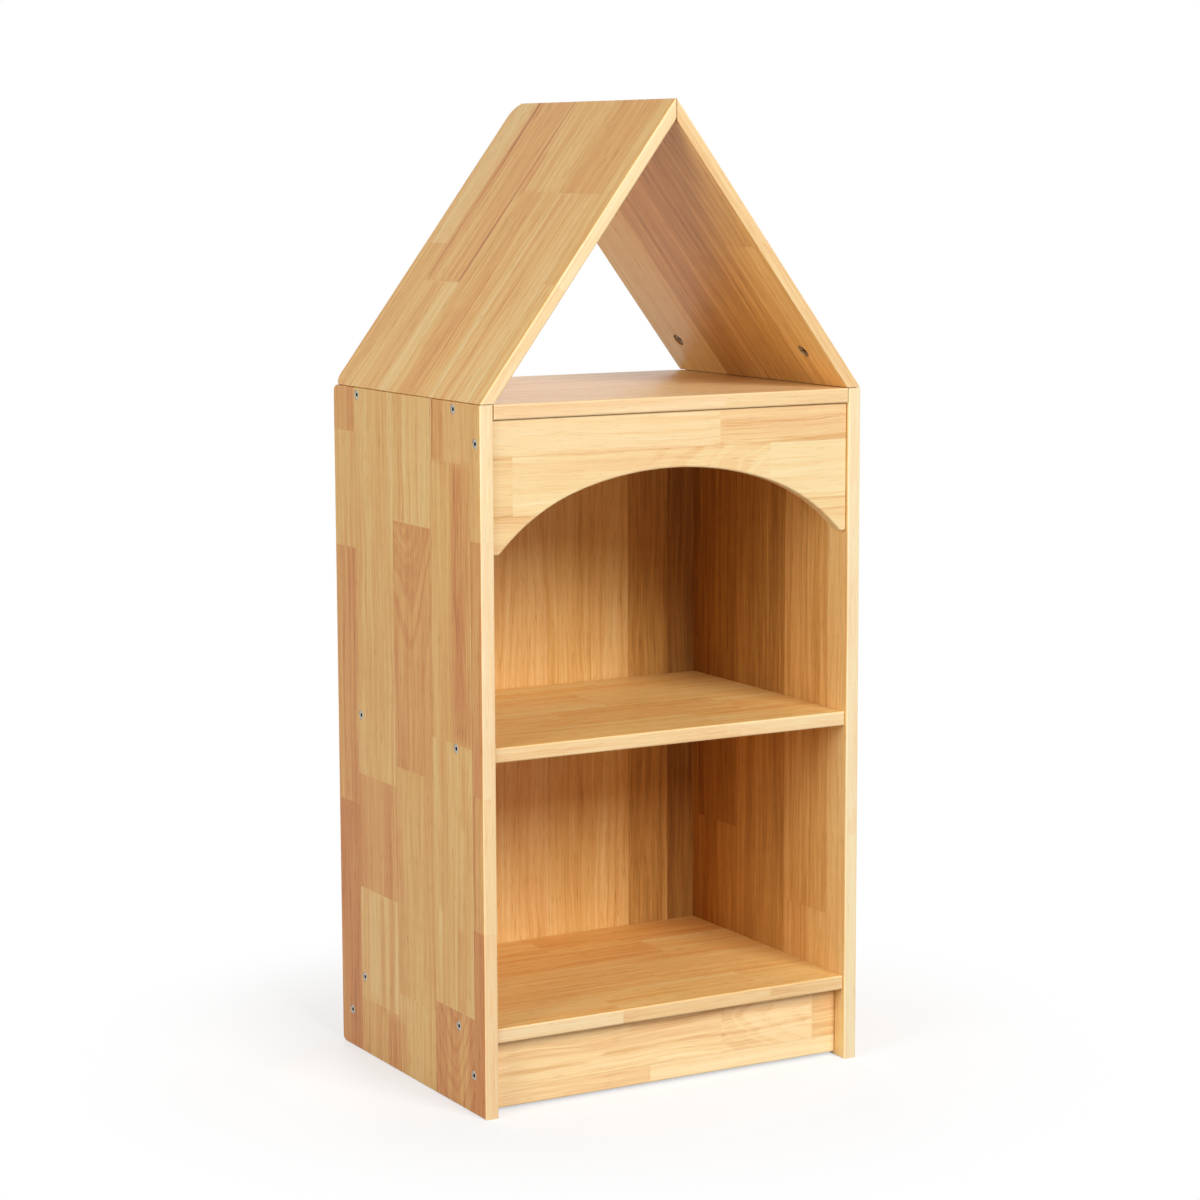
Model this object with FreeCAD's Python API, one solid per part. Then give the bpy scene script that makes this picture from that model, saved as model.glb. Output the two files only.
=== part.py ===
import FreeCAD, Part
import math
import os

Vector = FreeCAD.Vector

# A house-shaped shelf of solid boards. X runs across the front, Y from front to back and Z up,
# in millimetres, with the origin on the floor under the middle of the shelf.

# Carcass
overall_width = 440.0
overall_depth = 335.0
side_height = 708.0
side_thickness = 15.0
top_thickness = 15.0
shelf_thickness = 15.0
middle_shelf_height = 372.0
bottom_shelf_height = 90.0
shelf_setback = 3.0
side_corner_radius = 7.0
edge_radius = 2.0

# Narrow gaps that show along the outside of the tight joints
seam_gap = 0.7
seam_depth = 3.5

# Back panel, held in grooves on all four sides
back_thickness = 5.0
back_setback = 22.5
groove_depth = 4.0
groove_clearance = 0.15
groove_end_room = 0.4
shelf_to_back_gap = 0.4

# Arched apron under the top board
apron_thickness = 15.0
apron_setback = 3.5
apron_crown_depth = 56.5
arch_rise = 75.5
arch_shoulder_radius = 207.0
arch_end_angle = 48.0
arch_crown_angle = 18.0
apron_nose_width = 7.0
apron_nose_radius = 6.0
apron_outer_nose_radius = 3.0

# Plinth under the front of the bottom shelf, and the rail under its rear
plinth_thickness = 15.0
plinth_setback = 18.0
rear_rail_thickness = 15.0
rear_rail_setback = 18.0
rail_floor_gap = 4.0

# Roof
roof_rise = 293.0
roof_thickness = 13.0
ridge_radius = 2.0
ridge_inner_ease = 3.0
ridge_seam_ease = 0.7
roof_upper_corner_radius = 20.0
roof_lower_corner_radius = 15.0
roof_foot_flat = 0.8

# Spline inside the ridge mitre
spline_thickness = 4.0
spline_width = 14.0
spline_stop = 40.0
spline_drop = 4.0
spline_clearance = 0.1

# Countersunk connecting screws through the sides
screw_length = 50.0
screw_head_diameter = 10.0
screw_head_rim = 0.6
screw_neck_diameter = 7.0
screw_thread_diameter = 6.3
screw_tip_diameter = 3.0
screw_tip_length = 4.0
screw_sink = 0.5
screw_clearance = 0.2
screw_end_room = 1.0
socket_width = 4.0
socket_depth = 3.0
screw_edge_distance = 57.5
apron_screw_drop = 23.0

# Dowels that keep the apron, plinth and rear rail from turning on their screws
dowel_diameter = 6.0
dowel_length = 28.0
dowel_seat_depth = 8.0
dowel_chamfer = 0.8
dowel_clearance = 0.1
dowel_end_room = 0.5
dowel_end_distance = 95.0

# Cam fittings of the roof and their angled bolts
cam_diameter = 15.0
cam_bore_depth = 10.5
cam_recess = 1.4
cam_clearance = 0.15
cam_wall = 1.8
cam_slot_angle = 100.0
cam_cross_length = 8.0
cam_cross_width = 1.5
cam_cross_depth = 1.6
cam_distance = 45.0
cam_edge_distance = 42.5
bolt_diameter = 6.0
bolt_clearance = 0.25
bolt_neck_diameter = 3.2
bolt_head_diameter = 5.2
anchor_length = 30.0
anchor_end_room = 0.5
hinge_pin_diameter = 2.0
hinge_tongue_thickness = 2.4
hinge_clearance = 0.1

# Tools that cut right through a board start this far outside it
overshoot = 2.0

# Places worked out from the sizes
half_width = overall_width / 2
inner_half = half_width - side_thickness
front = -overall_depth / 2
rear = overall_depth / 2
top_underside = side_height - top_thickness
middle_underside = middle_shelf_height - shelf_thickness
bottom_underside = bottom_shelf_height - shelf_thickness
back_rear = rear - back_setback
back_front = back_rear - back_thickness
apron_front = front + apron_setback
apron_middle = apron_front + apron_thickness / 2
plinth_front = front + plinth_setback
plinth_middle = plinth_front + plinth_thickness / 2
rear_rail_front = rear - rear_rail_setback - rear_rail_thickness
rear_rail_middle = rear_rail_front + rear_rail_thickness / 2
rail_screw_height = (rail_floor_gap + bottom_underside) / 2
screw_rows = (front + screw_edge_distance, rear - screw_edge_distance)
dowel_places = (dowel_end_distance - inner_half, inner_half - dowel_end_distance)
cam_rows = (front + cam_edge_distance, rear - cam_edge_distance)
ridge_height = side_height + roof_rise
slope = math.atan2(roof_rise, half_width)
roof_length = math.hypot(roof_rise, half_width)
roof_foot = roof_thickness / math.sin(slope)


def block(x_low, x_high, y_low, y_high, z_low, z_high):
    """A box between two corners."""
    size = (x_high - x_low, y_high - y_low, z_high - z_low)
    return Part.makeBox(*size, Vector(x_low, y_low, z_low))


def edges_at(shape, **planes):
    """The edges that lie in every plane named, such as Y=0."""
    touch = 0.001

    def lies_in(edge, axis, place):
        bounds = edge.BoundBox
        low = getattr(bounds, axis + "Min")
        high = getattr(bounds, axis + "Max")
        return abs(low - place) < touch and abs(high - place) < touch

    return [edge for edge in shape.Edges if all(lies_in(edge, *plane) for plane in planes.items())]


def eased(shape, edges, radius=edge_radius):
    """Round the edges over."""
    return shape.makeFillet(radius, edges)


def mirrored(shape):
    """The same piece on the other side of the shelf."""
    return shape.mirror(Vector(0, 0, 0), Vector(1, 0, 0))


def pair(shapes):
    """The pieces of the left side and their copies on the right."""
    return shapes + [mirrored(shape) for shape in shapes]


def cut_all(shape, tools):
    """Take every tool out of the shape."""
    for tool in tools:
        shape = shape.cut(tool)
    return shape


def turned(points):
    """A solid turned about the X axis from points given as place and radius."""
    outline = Part.makePolygon([Vector(x, radius, 0) for x, radius in points + points[:1]])
    return Part.Face(outline).revolve(Vector(0, 0, 0), Vector(1, 0, 0), 360)


def save(name, solids):
    """Write one node, a single solid or a group of them."""
    shape = solids[0] if len(solids) == 1 else Part.makeCompound(solids)
    shape.exportStep(os.path.join("parts", name + ".step"))


# Screws: one turned body gives both the screw and, with its clearances, the hole it sits in
def screw_body(clearance=0.0, end_room=0.0, lead=0.0):
    head = screw_head_diameter / 2 + clearance
    neck = screw_neck_diameter / 2 + clearance
    thread = screw_thread_diameter / 2 + clearance
    tip = screw_tip_diameter / 2 + clearance
    cone_end = screw_head_rim + (screw_head_diameter - screw_neck_diameter) / 2
    neck_end = side_thickness - screw_sink
    end = screw_length + end_room
    return turned([
        (-lead, 0), (-lead, head), (screw_head_rim, head), (cone_end, neck), (neck_end, neck),
        (neck_end, thread), (end - screw_tip_length, thread), (end, tip), (end, 0)])


def screw():
    radius = socket_width / 2 / math.cos(math.pi / 6)
    corners = [Vector(0, radius * math.cos(turn), radius * math.sin(turn))
               for turn in [step * math.pi / 3 for step in range(7)]]
    socket = Part.Face(Part.makePolygon(corners)).extrude(Vector(socket_depth, 0, 0))
    return screw_body().cut(socket)


def at_left_face(shape, place):
    """Move a piece made at the origin to a place on the outer face of the left side."""
    y, z = place
    moved = shape.copy()
    moved.translate(Vector(-half_width + screw_sink, y, z))
    return moved


screw_places = {
    "top_board": [(row, side_height - top_thickness / 2) for row in screw_rows],
    "apron": [(apron_middle, top_underside - apron_screw_drop)],
    "middle_shelf": [(row, middle_shelf_height - shelf_thickness / 2) for row in screw_rows],
    "bottom_shelf": [(row, bottom_shelf_height - shelf_thickness / 2) for row in screw_rows],
    "front_plinth": [(plinth_middle, rail_screw_height)],
    "rear_rail": [(rear_rail_middle, rail_screw_height)],
}
screw_hole = screw_body(screw_clearance, screw_end_room, screw_sink + overshoot)


def screw_holes(name):
    """The holes on the left for the screws of one board."""
    return [at_left_face(screw_hole, place) for place in screw_places[name]]


# Dowels: upright, half in a rail's top edge and half in the underside of the board above it
def dowel(x, y, joint_height, clearance=0.0, end_room=0.0):
    low = joint_height - (dowel_length - dowel_seat_depth) - end_room
    length = dowel_length + 2 * end_room
    return Part.makeCylinder(dowel_diameter / 2 + clearance, length, Vector(x, y, low))


def dowel_pair(y, joint_height):
    pegs = [dowel(x, y, joint_height) for x in dowel_places]
    return [peg.makeChamfer(dowel_chamfer, [edge for edge in peg.Edges if edge.Closed]) for peg in pegs]


def dowel_holes(y, joint_height):
    return [dowel(x, y, joint_height, dowel_clearance, dowel_end_room) for x in dowel_places]


apron_dowel_holes = dowel_holes(apron_middle, top_underside)
plinth_dowel_holes = dowel_holes(plinth_middle, bottom_underside)
rear_rail_dowel_holes = dowel_holes(rear_rail_middle, bottom_underside)


# Back panel and the grooves around it
def back_panel():
    reach = inner_half + groove_depth - groove_end_room
    low = bottom_shelf_height - groove_depth
    high = top_underside + groove_depth - groove_end_room
    return block(-reach, reach, back_front, back_rear, low, high)


def back_grooves():
    """The room that the back panel takes up in the sides, the top board and the bottom shelf."""
    reach = inner_half + groove_depth
    low = bottom_shelf_height - groove_depth
    high = top_underside + groove_depth
    return block(-reach, reach, back_front - groove_clearance, back_rear + groove_clearance, low, high)


# Roof: each board is made flat, its length along X and its outer face up, then tilted onto the left side
to_roof = FreeCAD.Placement(
    Vector(-half_width, 0, side_height), FreeCAD.Rotation(Vector(0, 1, 0), -math.degrees(slope)))
# The bolts' hinges lie on the joint, in the middle of the roof board's foot or of the side if that is thinner
hinge_inset = min(roof_foot, side_thickness) / 2
hinge_place = hinge_inset * math.cos(slope)
bolt_level = -hinge_inset * math.sin(slope)
cam_place = roof_foot * math.cos(slope) + cam_distance


def on_roof(shape):
    """Tilt a piece from the flat board's frame onto the left slope."""
    tilted = shape.copy()
    tilted.Placement = to_roof.multiply(tilted.Placement)
    return tilted


def corner_waste(radius, x_corner, inward):
    """What rounding a rear corner of the flat board takes away, leaving its new edge eased as well."""
    x_centre = x_corner + inward * radius
    y_centre = rear - radius
    puck = Part.makeCylinder(radius, roof_thickness, Vector(x_centre, y_centre, -roof_thickness))
    puck = eased(puck, [edge for edge in puck.Edges if edge.Closed])
    x_far = x_corner - inward * 2 * radius
    square = block(min(x_centre, x_far), max(x_centre, x_far), y_centre, rear + overshoot,
                   -roof_thickness - overshoot, overshoot)
    return square.cut(puck)


def ridge_waste():
    """What rounding the ridge over takes away from both boards."""
    tangent_x = ridge_radius * math.sin(slope)
    centre_z = ridge_height - ridge_radius / math.cos(slope)
    tangent_z = centre_z + ridge_radius * math.cos(slope)
    left = Vector(-tangent_x, front - overshoot, tangent_z)
    right = Vector(tangent_x, front - overshoot, tangent_z)
    crown = Vector(0, front - overshoot, centre_z + ridge_radius)
    lift = Vector(0, 0, ridge_height + overshoot - tangent_z)
    outline = Part.Wire([
        Part.Arc(left, crown, right).toShape(), Part.makeLine(right, right + lift),
        Part.makeLine(right + lift, left + lift), Part.makeLine(left + lift, left)])
    return Part.Face(outline).extrude(Vector(0, overall_depth + 2 * overshoot, 0))


def ridge_seam_waste():
    """What easing the edges of the ridge's joint takes away, along its underside and at its front end."""
    inner_apex = ridge_height - roof_thickness / math.cos(slope)
    y_start = front - overshoot
    across = ridge_inner_ease * math.cos(slope)
    shoulder = inner_apex - ridge_inner_ease * math.sin(slope)
    under = Part.makePolygon([
        Vector(0, y_start, inner_apex + ridge_inner_ease), Vector(across, y_start, shoulder),
        Vector(0, y_start, shoulder - across), Vector(-across, y_start, shoulder),
        Vector(0, y_start, inner_apex + ridge_inner_ease)])
    end = Part.makePolygon([
        Vector(-ridge_seam_ease, front, inner_apex), Vector(ridge_seam_ease, front, inner_apex),
        Vector(0, front + ridge_seam_ease, inner_apex), Vector(-ridge_seam_ease, front, inner_apex)])
    along = Vector(0, overall_depth + 2 * overshoot, 0)
    return [Part.Face(under).extrude(along), Part.Face(end).extrude(Vector(0, 0, ridge_height - inner_apex))]


def ridge_spline(clearance=0.0):
    middle = ridge_height - roof_thickness / math.cos(slope) / 2 - spline_drop
    reach = spline_width / 2 + clearance
    height = spline_thickness / 2 + clearance
    return block(-reach, reach, front + spline_stop - clearance, rear - spline_stop + clearance,
                 middle - height, middle + height)


def foot_seam_waste():
    """The narrow gap round the roof board's foot, which stands on the middle of the side's top edge."""
    room = block(-half_width - overshoot, overshoot - inner_half, front - overshoot, rear + overshoot,
                 side_height - overshoot, side_height + seam_gap)
    land = block(-half_width + seam_depth, -inner_half - seam_depth, front + seam_depth,
                 rear - roof_lower_corner_radius, side_height - overshoot, side_height + seam_gap)
    return room.cut(land)


def left_roof_board():
    board = block(0, roof_length + roof_thickness, front, rear, -roof_thickness, 0)
    outer_edges = edges_at(board, Y=front, Z=0) + edges_at(board, Y=rear, Z=0)
    inner_edges = edges_at(board, Y=front, Z=-roof_thickness) + edges_at(board, Y=rear, Z=-roof_thickness)
    board = eased(board, outer_edges + inner_edges)
    board = board.cut(corner_waste(roof_upper_corner_radius, roof_length, -1))
    board = board.cut(corner_waste(roof_lower_corner_radius, 0, 1))
    board = on_roof(cut_all(board, [cam_bore(y) for y in cam_rows] + [bolt_bore(y) for y in cam_rows]))
    house = block(-half_width + roof_foot_flat, 0, front, rear, side_height, ridge_height)
    seams = [foot_seam_waste()] + ridge_seam_waste()
    return cut_all(board.common(house), [ridge_waste(), ridge_spline(spline_clearance)] + seams)


# Roof fittings, in the flat board's frame: a cam in the inner face grips the head of a hinged bolt
cam_radius = cam_diameter / 2 - cam_clearance
cam_hollow_radius = cam_radius - cam_wall
bolt_head_place = cam_place - cam_hollow_radius + bolt_head_diameter / 2 + cam_clearance
bolt_shoulder = cam_place - cam_diameter / 2
hinge_radius = bolt_diameter / 2


def cam_bore(y):
    base = Vector(cam_place, y, -roof_thickness - overshoot)
    return Part.makeCylinder(cam_diameter / 2, cam_bore_depth + overshoot, base)


def bolt_bore(y):
    start = Vector(hinge_place - 2 * bolt_diameter, y, bolt_level)
    return Part.makeCylinder(bolt_diameter / 2 + bolt_clearance, cam_place - start.x, start, Vector(1, 0, 0))


def roof_cam(y):
    centre = Vector(cam_place, y, bolt_level)
    face = -roof_thickness + cam_recess
    body = Part.makeCylinder(cam_radius, cam_bore_depth - cam_recess, Vector(cam_place, y, face))
    room = bolt_head_diameter + 2 * cam_clearance
    slot = bolt_neck_diameter + 2 * cam_clearance
    hollow = Part.makeCylinder(cam_hollow_radius, room, centre - Vector(0, 0, room / 2))
    # The slot leads the bolt's neck from the entry hole round to the side that faces the foot of the roof
    axis = Vector(0, 0, 1)
    slot_start = 180 - math.degrees(math.asin(slot / 2 / cam_hollow_radius))
    sweep = Part.makeCylinder(cam_radius + overshoot, slot, axis * (-slot / 2), axis, cam_slot_angle)
    sweep.rotate(Vector(0, 0, 0), axis, slot_start)
    sweep.translate(centre)
    entry_turn = math.radians(180 + cam_slot_angle - math.degrees(math.asin(room / 2 / cam_hollow_radius)))
    entry_way = Vector(math.cos(entry_turn), math.sin(entry_turn), 0)
    entry = Part.makeCylinder(room / 2, cam_radius + overshoot, centre, entry_way)
    half = cam_cross_length / 2
    wide = cam_cross_width / 2
    cross = [block(cam_place - a, cam_place + a, y - b, y + b, face, face + cam_cross_depth)
             for a, b in ((half, wide), (wide, half))]
    return cut_all(body, [hollow, sweep, entry] + cross)


def hinge_disc(y, radius, thickness):
    """A disc on the hinge's axis, in the flat board's frame."""
    base = Vector(hinge_place, y - thickness / 2, bolt_level)
    return Part.makeCylinder(radius, thickness, base, Vector(0, 1, 0))


def bolt_rod(y):
    along = Vector(1, 0, 0)
    hinge = Vector(hinge_place, y, bolt_level)
    shoulder = Vector(bolt_shoulder, y, bolt_level)
    head = Vector(bolt_head_place, y, bolt_level)
    shank = Part.makeCylinder(bolt_diameter / 2, bolt_shoulder - hinge_place, hinge, along)
    neck = Part.makeCylinder(bolt_neck_diameter / 2, bolt_head_place - bolt_shoulder, shoulder, along)
    ball_head = Part.makeSphere(bolt_head_diameter / 2, head)
    round_foot = Part.makeSphere(hinge_radius, hinge)
    rod = shank.fuse([neck, ball_head, round_foot])
    fork_width = hinge_tongue_thickness + 2 * hinge_clearance
    fork_slot = hinge_disc(y, hinge_radius + 2 * hinge_clearance, fork_width)
    pin_hole = hinge_disc(y, hinge_pin_diameter / 2 + hinge_clearance, bolt_diameter)
    return cut_all(rod.removeSplitter(), [fork_slot, pin_hole])


def hinge_point(y):
    """The hinge's centre on the joint between the left side and its roof board."""
    return to_roof.multVec(Vector(hinge_place, y, bolt_level))


def bolt_anchor(y):
    hinge = hinge_point(y)
    up = Vector(0, 0, 1)
    across = Vector(0, 1, 0)
    shoulder = hinge_radius + 2 * hinge_clearance
    tongue_half = hinge_tongue_thickness / 2
    foot = hinge - up * anchor_length
    shank = Part.makeCylinder(bolt_diameter / 2, anchor_length - shoulder, foot)
    eye_radius = hinge_radius - hinge_clearance
    eye = Part.makeCylinder(eye_radius, hinge_tongue_thickness, hinge - across * tongue_half, across)
    web = block(hinge.x - eye_radius, hinge.x + eye_radius, y - tongue_half, y + tongue_half,
                hinge.z - shoulder, hinge.z)
    web = web.common(Part.makeCylinder(bolt_diameter / 2, bolt_diameter, hinge - up * bolt_diameter))
    pin_hole_radius = hinge_pin_diameter / 2 + hinge_clearance
    pin_hole = Part.makeCylinder(pin_hole_radius, bolt_diameter, hinge - across * hinge_radius, across)
    return shank.fuse([web, eye]).removeSplitter().cut(pin_hole)


def anchor_bore(y):
    """The anchor's hole in the side's top edge, with a wider mouth where the rod above leans over."""
    hinge = hinge_point(y)
    depth = anchor_length + anchor_end_room
    bore = Part.makeCylinder(bolt_diameter / 2 + bolt_clearance, depth, hinge - Vector(0, 0, depth))
    mouth_radius = bolt_diameter / 2 / math.sin(slope) + bolt_clearance
    mouth_depth = bolt_diameter / 2
    mouth = Part.makeCylinder(mouth_radius, mouth_depth + overshoot, hinge - Vector(0, 0, mouth_depth))
    return bore.fuse(mouth)


def hinge_pin(y):
    reach = math.sqrt(hinge_radius ** 2 - (hinge_pin_diameter / 2) ** 2)
    return hinge_disc(y, hinge_pin_diameter / 2, 2 * reach)


# Boards of the carcass
def left_side_panel():
    panel = block(-half_width, -inner_half, front, rear, 0, side_height)
    rear_corners = edges_at(panel, Y=rear, Z=0) + edges_at(panel, Y=rear, Z=side_height)
    panel = eased(panel, rear_corners, side_corner_radius)
    panel = eased(panel, edges_at(panel, X=-half_width) + edges_at(panel, X=-inner_half))
    holes = [hole for name in screw_places for hole in screw_holes(name)]
    return cut_all(panel, holes + [back_grooves()] + [anchor_bore(y) for y in cam_rows])


def cross_board(y_low, y_high, z_low, z_high):
    """A board between the sides, with the edges round its front and rear faces eased."""
    board = block(-inner_half, inner_half, y_low, y_high, z_low, z_high)
    return eased(board, edges_at(board, Y=y_low) + edges_at(board, Y=y_high))


def end_seams(y_front):
    """The narrow gaps between the sides and the front of a board's ends."""
    slit = block(-inner_half - overshoot, seam_gap - inner_half, y_front - overshoot, y_front + seam_depth,
                 0, side_height + overshoot)
    return pair([slit])


def top_board():
    board = cross_board(front, rear, top_underside, side_height)
    holes = pair(screw_holes("top_board")) + apron_dowel_holes
    return cut_all(board, holes + [back_grooves()] + end_seams(front))


def middle_shelf():
    y_rear = back_front - shelf_to_back_gap
    board = cross_board(front + shelf_setback, y_rear, middle_underside, middle_shelf_height)
    return cut_all(board, pair(screw_holes("middle_shelf")))


def bottom_shelf():
    board = cross_board(front + shelf_setback, rear - shelf_setback, bottom_underside, bottom_shelf_height)
    holes = pair(screw_holes("bottom_shelf")) + plinth_dowel_holes + rear_rail_dowel_holes
    return cut_all(board, holes + [back_grooves()])


def low_rail(y_front, thickness, name, dowels):
    """The plinth or the rear rail: a strip between the sides, just clear of the floor."""
    rail = cross_board(y_front, y_front + thickness, rail_floor_gap, bottom_underside)
    return cut_all(rail, pair(screw_holes(name)) + dowels)


def arch_apron():
    """A strip whose lower edge is a flat arch: a wide crown running into two tighter shoulder arcs."""
    crown = Vector(0, 0, top_underside - apron_crown_depth)
    tip = Vector(inner_half - apron_nose_width, 0, crown.z - arch_rise)

    def out_of_centre(angle):
        """The way from the right shoulder's centre to where the arch slopes at an angle."""
        turn = math.radians(angle)
        return Vector(math.sin(turn), 0, math.cos(turn)) * arch_shoulder_radius

    shoulder_centre = tip - out_of_centre(arch_end_angle)
    meet = shoulder_centre + out_of_centre(arch_crown_angle)
    on_shoulder = shoulder_centre + out_of_centre((arch_crown_angle + arch_end_angle) / 2)
    # The level line through the crown and the shoulder's slope cross here, and the crown's curve touches both
    lean = math.radians(arch_crown_angle)
    crossing = Vector(meet.x - (crown.z - meet.z) / math.tan(lean), 0, crown.z)

    def crown_curve(start, pull, end):
        curve = Part.BezierCurve()
        curve.setPoles([start, pull, end])
        curve.setWeight(2, math.cos(lean / 2))
        return curve.toShape()

    def left(point):
        return Vector(-point.x, point.y, point.z)

    end_low = Vector(inner_half, 0, tip.z)
    end_high = Vector(inner_half, 0, top_underside)
    outline = Part.Wire([
        crown_curve(left(meet), left(crossing), crown),
        crown_curve(crown, crossing, meet),
        Part.Arc(meet, on_shoulder, tip).toShape(),
        Part.makeLine(tip, end_low),
        Part.makeLine(end_low, end_high),
        Part.makeLine(end_high, left(end_high)),
        Part.makeLine(left(end_high), left(end_low)),
        Part.makeLine(left(end_low), left(tip)),
        Part.Arc(left(tip), left(on_shoulder), left(meet)).toShape()])
    board = Part.Face(outline).extrude(Vector(0, apron_thickness, 0))
    board.translate(Vector(0, apron_front, 0))
    for x, radius in ((tip.x, apron_nose_radius), (inner_half, apron_outer_nose_radius)):
        noses = edges_at(board, X=x, Z=tip.z) + edges_at(board, X=-x, Z=tip.z)
        board = eased(board, noses, radius)
    board = eased(board, edges_at(board, Y=apron_front) + edges_at(board, Y=apron_front + apron_thickness))
    top_seam = block(-half_width, half_width, apron_front - overshoot, apron_front + seam_depth,
                     top_underside - seam_gap, top_underside + overshoot)
    holes = pair(screw_holes("apron")) + apron_dowel_holes
    return cut_all(board, holes + end_seams(apron_front) + [top_seam])


os.makedirs("parts", exist_ok=True)

side = left_side_panel()
roof = left_roof_board()
save("left_side_panel", [side])
save("right_side_panel", [mirrored(side)])
save("top_board", [top_board()])
save("middle_shelf", [middle_shelf()])
save("bottom_shelf", [bottom_shelf()])
save("arch_apron", [arch_apron()])
save("front_plinth", [low_rail(plinth_front, plinth_thickness, "front_plinth", plinth_dowel_holes)])
save("rear_rail", [low_rail(rear_rail_front, rear_rail_thickness, "rear_rail", rear_rail_dowel_holes)])
save("back_panel", [back_panel()])
save("left_roof_board", [roof])
save("right_roof_board", [mirrored(roof)])
save("ridge_spline", [ridge_spline()])
for board_name, places in screw_places.items():
    save(board_name + "_screws", pair([at_left_face(screw(), place) for place in places]))
save("apron_dowels", dowel_pair(apron_middle, top_underside))
save("plinth_dowels", dowel_pair(plinth_middle, bottom_underside))
save("rear_rail_dowels", dowel_pair(rear_rail_middle, bottom_underside))
save("roof_cams", pair([on_roof(roof_cam(y)) for y in cam_rows]))
save("roof_bolt_rods", pair([on_roof(bolt_rod(y)) for y in cam_rows]))
save("roof_bolt_anchors", pair([bolt_anchor(y) for y in cam_rows]))
save("roof_bolt_pins", pair([on_roof(hinge_pin(y)) for y in cam_rows]))
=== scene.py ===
import math
import random
from collections import namedtuple

import bpy
from mathutils import Matrix, Vector

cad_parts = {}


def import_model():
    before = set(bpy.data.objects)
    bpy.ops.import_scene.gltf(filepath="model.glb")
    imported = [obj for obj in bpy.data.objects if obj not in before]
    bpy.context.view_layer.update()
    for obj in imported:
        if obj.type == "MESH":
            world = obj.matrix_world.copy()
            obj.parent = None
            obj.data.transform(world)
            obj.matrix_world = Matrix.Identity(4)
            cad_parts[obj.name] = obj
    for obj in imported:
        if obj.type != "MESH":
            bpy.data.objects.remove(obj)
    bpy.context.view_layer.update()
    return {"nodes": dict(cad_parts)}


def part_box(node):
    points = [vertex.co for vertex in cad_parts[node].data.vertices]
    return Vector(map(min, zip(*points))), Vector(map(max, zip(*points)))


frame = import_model()

MILLIMETRE = 0.001
X_AXIS = Vector((1, 0, 0))
Y_AXIS = Vector((0, 1, 0))
Z_AXIS = Vector((0, 0, 1))
WHITE = (1.0, 1.0, 1.0, 1.0)

# Camera, from the front left and a little above the middle
CAMERA_TARGET = Vector((0.0047, -0.0026, 0.4836))
CAMERA_DISTANCE = 3.2845
CAMERA_AZIMUTH = math.radians(-29.42)
CAMERA_ELEVATION = math.radians(8.06)
CAMERA_ROLL = math.radians(-0.21)
CAMERA_LENS = 94.1

# Square softboxes: place and width in metres, power in watts, and whether gloss mirrors them
Softbox = namedtuple("Softbox", "name place width power mirrored")
SOFTBOXES = (
    Softbox("key_softbox", (0.8, -6.6, 4.6), 3.6, 560.0, True),
    Softbox("left_softbox", (-3.7, -1.3, 1.6), 2.0, 89.0, True),
    Softbox("right_softbox", (3.6, 0.7, 1.5), 2.0, 52.0, False),
    Softbox("rear_softbox", (1.2, 3.2, 0.9), 1.4, 42.0, False),
    Softbox("roof_softbox", (-0.12, 0.50, 0.80), 0.15, 0.9, False),
)

# World and floor: the floor's glow grows from FLOOR_WHITE to full white between two distances in metres
WORLD_LIGHT = 0.07
FLOOR_RADIUS = 6.0
FLOOR_SIDES = 96
FLOOR_FADE = (0.24, 0.60)
FLOOR_WHITE = 0.6
FLOOR_ROUGHNESS = 0.9
FLOOR_SEEN = (0.97, 0.97, 0.97, 1.0)
FLOOR_BOUNCE = (0.42, 0.42, 0.42, 1.0)

# Wood from pale sapwood to red-brown heartwood, as tone and linear colour: on most faces, on the shaded faces
# inside, where the staves' darker tones paint that shade, on the apron and top board, and on the plinth and the
# front and rear edges
FACE_WOOD = (
    (-0.4, (0.89, 0.64, 0.28)),
    (0.0, (0.86, 0.545, 0.19)),
    (0.3, (0.805, 0.435, 0.12)),
    (0.6, (0.72, 0.325, 0.082)),
    (1.0, (0.65, 0.235, 0.045)),
    (1.4, (0.42, 0.135, 0.025)),
)
INNER_WOOD = (
    (-0.4, (0.92, 0.69, 0.33)),
    (0.0, (0.87, 0.57, 0.225)),
    (0.3, (0.79, 0.465, 0.15)),
    (0.6, (0.65, 0.345, 0.095)),
    (1.0, (0.46, 0.225, 0.052)),
    (1.4, (0.30, 0.13, 0.03)),
)
APRON_WOOD = (
    (-0.4, (0.865, 0.72, 0.46)),
    (0.0, (0.85, 0.67, 0.375)),
    (0.4, (0.825, 0.60, 0.295)),
    (0.7, (0.79, 0.52, 0.25)),
    (1.0, (0.71, 0.415, 0.16)),
    (1.4, (0.52, 0.27, 0.10)),
)
EDGE_WOOD = (
    (-0.4, (0.97, 0.83, 0.53)),
    (0.0, (0.95, 0.735, 0.415)),
    (0.4, (0.91, 0.645, 0.325)),
    (0.7, (0.83, 0.54, 0.25)),
    (1.0, (0.75, 0.44, 0.18)),
    (1.4, (0.55, 0.29, 0.11)),
)
PALEST = -0.4
DARKEST = 1.4

# Where a board's outer face takes over from its inner one, whose tones paint light and shade, as shares of the
# thickness, and how squarely a surface looks to the front or the rear where an edge takes over from a face
OUTER_DEPTH = (0.5, 0.9)
EDGE_FACING = (0.45, 0.80)

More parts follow.
